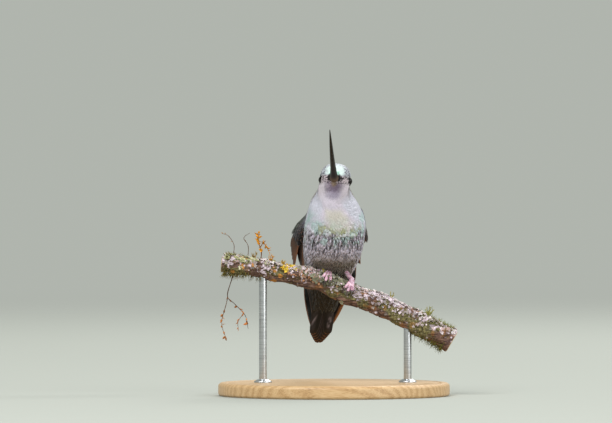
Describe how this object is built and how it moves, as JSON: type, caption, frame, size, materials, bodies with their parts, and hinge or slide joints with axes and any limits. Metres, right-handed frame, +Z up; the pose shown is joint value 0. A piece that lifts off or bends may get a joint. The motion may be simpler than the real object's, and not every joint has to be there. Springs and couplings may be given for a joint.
{
  "type": "perched hummingbird on a display stand",
  "caption": "Life-size still model of a long-billed hummingbird gripping a cut length of branch, held over a round base by two rods.",
  "frame": {"origin": "centre of the round base's flat underside, on the floor", "axes": "+Z up, -Y the way the bird's breast faces, +X the bird's left side"},
  "size_m": [0.0913, 0.0909, 0.1015],
  "materials": {
    "crown_feathers": "short feathers, glittering pale green on the forehead and bronze-green behind",
    "throat_feathers": "soft pale lilac-grey feathers",
    "body_feathers": "soft feathers, pale grey breast, dark streaked belly, bronze-green back",
    "covert_feathers": "dull dark olive feathers",
    "tail_feathers": "smooth blue-black feathers with dull grey-brown tips",
    "flight_feathers": "smooth dusky feathers with brown edges",
    "wing_covert_feathers": "dark bronze-green feathers with a faint sheen",
    "bill": "satin horn, blackish brown",
    "eye": "wet black glass",
    "leg_skin": "fine scaled skin, pinkish white",
    "claw": "satin horn, dark brown",
    "bark": "rough bark with pale lichen and olive moss",
    "base_wood": "satin oiled ash",
    "rod_steel": "brushed stainless steel"
  },
  "bodies": {
    "root": {"bill_lower": "bill", "bill_upper": "bill", "claw_left_hind": "claw", "claw_left_inner": "claw", "claw_left_middle": "claw", "claw_left_outer": "claw", "claw_right_hind": "claw", "claw_right_inner": "claw", "claw_right_middle": "claw", "claw_right_outer": "claw", "eye_left": "eye", "eye_right": "eye", "head": "crown_feathers", "leg_left": "leg_skin", "leg_right": "leg_skin", "neck": "throat_feathers", "perch_branch": "bark", "stand_base": "base_wood", "stand_rod_left": "rod_steel", "stand_rod_right": "rod_steel", "tail": "tail_feathers", "tail_coverts": "covert_feathers", "trunk": "body_feathers", "wing_left_coverts": "wing_covert_feathers", "wing_left_primaries": "flight_feathers", "wing_left_secondaries": "flight_feathers", "wing_right_coverts": "wing_covert_feathers", "wing_right_primaries": "flight_feathers", "wing_right_secondaries": "flight_feathers"}
  },
  "joints": []
}
